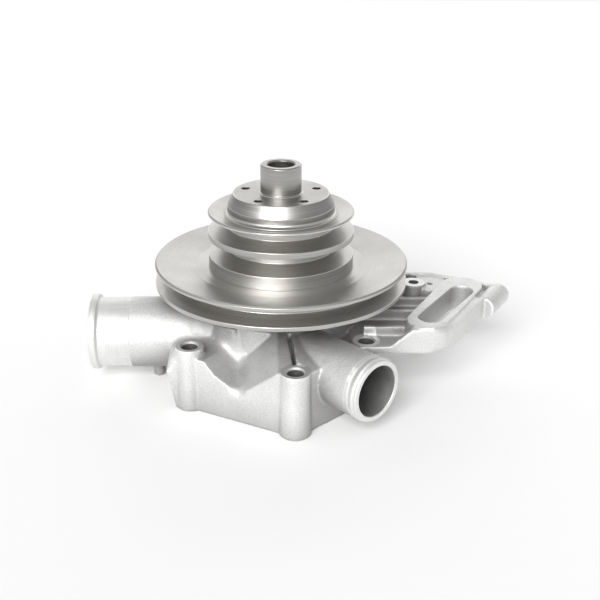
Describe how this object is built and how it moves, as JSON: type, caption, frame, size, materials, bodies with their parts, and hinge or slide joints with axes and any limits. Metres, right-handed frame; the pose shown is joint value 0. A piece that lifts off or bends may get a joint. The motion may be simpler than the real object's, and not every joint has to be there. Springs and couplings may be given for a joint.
{
  "type": "engine coolant pump",
  "caption": "Engine coolant pump: cast housing with two hose stubs, mounting feet and a slotted bracket, and a stepped V-belt pulley stack with a fan flange on its shaft.",
  "frame": {"origin": "where the shaft axis meets the machined mounting face", "axes": "+Z along the shaft towards the fan flange, +X towards the slotted bracket, -X along the large hose stub"},
  "size_m": [0.2565, 0.1703, 0.1308],
  "materials": {
    "cast_aluminium": "as-cast with machined faces",
    "turned_steel": "fine turned",
    "ground_steel": "ground",
    "zinc_steel": "zinc plated",
    "cast_iron": "as-cast",
    "brass": "satin",
    "rubber": "matte",
    "carbon": "matte carbon graphite",
    "ceramic": "lapped ceramic",
    "gasket_fibre": "pressed fibre"
  },
  "bodies": {
    "housing": {"housing": "cast_aluminium", "rear_cover": "zinc_steel", "cover_gasket": "gasket_fibre", "cover_screw_1": "zinc_steel", "cover_screw_2": "zinc_steel", "cover_screw_3": "zinc_steel", "cover_screw_4": "zinc_steel", "cover_screw_5": "zinc_steel", "cover_screw_6": "zinc_steel", "wear_plate": "zinc_steel", "bearing_outer_ring": "ground_steel", "bearing_seal_front": "rubber", "bearing_seal_rear": "rubber", "seal_cup": "brass", "seal_spring": "ground_steel", "seal_bellows": "rubber", "seal_carbon_ring": "carbon"},
    "rotor": {"shaft": "ground_steel", "impeller": "cast_iron", "slinger": "rubber", "seal_seat_ring": "ceramic", "fan_hub": "turned_steel", "twin_groove_pulley": "turned_steel", "large_pulley": "turned_steel", "pulley_screw_1": "zinc_steel", "pulley_screw_2": "zinc_steel", "pulley_screw_3": "zinc_steel", "pulley_screw_4": "zinc_steel", "pulley_screw_5": "zinc_steel"},
    "bearing_cage": {"ball_cage": "brass", "roller_cage": "brass", "bearing_ball_1": "ground_steel", "bearing_ball_2": "ground_steel", "bearing_ball_3": "ground_steel", "bearing_ball_4": "ground_steel", "bearing_ball_5": "ground_steel", "bearing_ball_6": "ground_steel", "bearing_ball_7": "ground_steel", "bearing_ball_8": "ground_steel", "bearing_roller_1": "ground_steel", "bearing_roller_2": "ground_steel", "bearing_roller_3": "ground_steel", "bearing_roller_4": "ground_steel", "bearing_roller_5": "ground_steel", "bearing_roller_6": "ground_steel", "bearing_roller_7": "ground_steel", "bearing_roller_8": "ground_steel"}
  },
  "joints": [
    {"name": "shaft_spin", "type": "hinge", "parent": "housing", "child": "rotor", "pos_m": [0, 0, 0.07], "axis": [0, 0, 1], "continuous": true},
    {"name": "cage_spin", "type": "hinge", "parent": "housing", "child": "bearing_cage", "pos_m": [0, 0, 0.07], "axis": [0, 0, 1], "continuous": true}
  ],
  "couplings": [
    {"joint": "cage_spin", "follows": "shaft_spin", "ratio": 0.3774}
  ]
}
